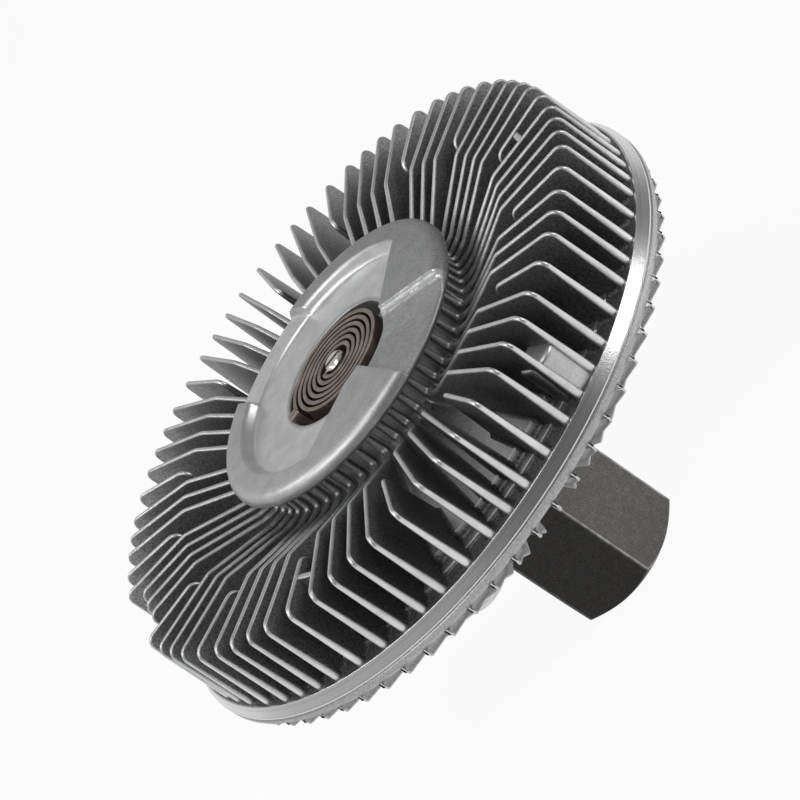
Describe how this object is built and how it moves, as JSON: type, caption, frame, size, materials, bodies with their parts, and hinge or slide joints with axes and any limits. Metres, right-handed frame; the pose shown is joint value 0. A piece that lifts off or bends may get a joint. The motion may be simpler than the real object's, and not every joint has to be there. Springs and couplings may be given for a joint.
{
  "type": "viscous fan clutch",
  "caption": "Finned round viscous fan clutch with a bimetal coil in its front hub, a ball bearing and a hexagonal spin-on drive with an inner thread.",
  "frame": {"origin": "on the axis, at the open end face of the hexagon", "axes": "+Z along the axis towards the front hub with the bimetal coil, +X through the pad near the rim"},
  "size_m": [0.1684, 0.1684, 0.0964],
  "materials": {
    "forged_steel": "dark phosphated steel",
    "bearing_steel": "ground",
    "cage_plastic": "moulded",
    "plate_steel": "cold rolled",
    "spring_steel": "blackened",
    "cast_aluminium_rear": "cast and turned",
    "cast_aluminium_front": "satin cast",
    "rotor_aluminium": "turned",
    "bright_steel": "polished",
    "seal_rubber": "matt",
    "bimetal": "heat tinted strip"
  },
  "bodies": {
    "input": {"input_shaft": "forged_steel", "bearing_inner_ring": "bearing_steel", "rotor": "rotor_aluminium", "rotor_retainer": "plate_steel"},
    "ball_set": {"bearing_balls": "bearing_steel", "bearing_cage": "cage_plastic"},
    "housing": {"rear_housing": "cast_aluminium_rear", "front_cover": "cast_aluminium_front", "cover_seal": "seal_rubber", "bearing_outer_ring": "bearing_steel", "bearing_shield_rear": "plate_steel", "bearing_shield_front": "plate_steel", "bearing_retaining_ring": "spring_steel", "pump_plate": "plate_steel", "pump_plate_rivets": "plate_steel", "bimetal_coil": "bimetal"},
    "valve": {"valve_shaft": "bright_steel", "valve_arm": "plate_steel", "valve_shaft_seal": "seal_rubber", "valve_shaft_clip": "spring_steel"}
  },
  "joints": [
    {"name": "housing_spin", "type": "hinge", "parent": "input", "child": "housing", "pos_m": [0, 0, 0.0515], "axis": [0, 0, 1], "continuous": true},
    {"name": "ball_orbit", "type": "hinge", "parent": "input", "child": "ball_set", "pos_m": [0, 0, 0.0515], "axis": [0, 0, 1], "continuous": true},
    {"name": "valve_turn", "type": "hinge", "parent": "housing", "child": "valve", "pos_m": [0, 0, 0.085], "axis": [0, 0, 1], "range_deg": [0, 40], "deforming": ["bimetal_coil"]}
  ],
  "couplings": [
    {"joint": "ball_orbit", "follows": "housing_spin", "ratio": 0.6}
  ]
}
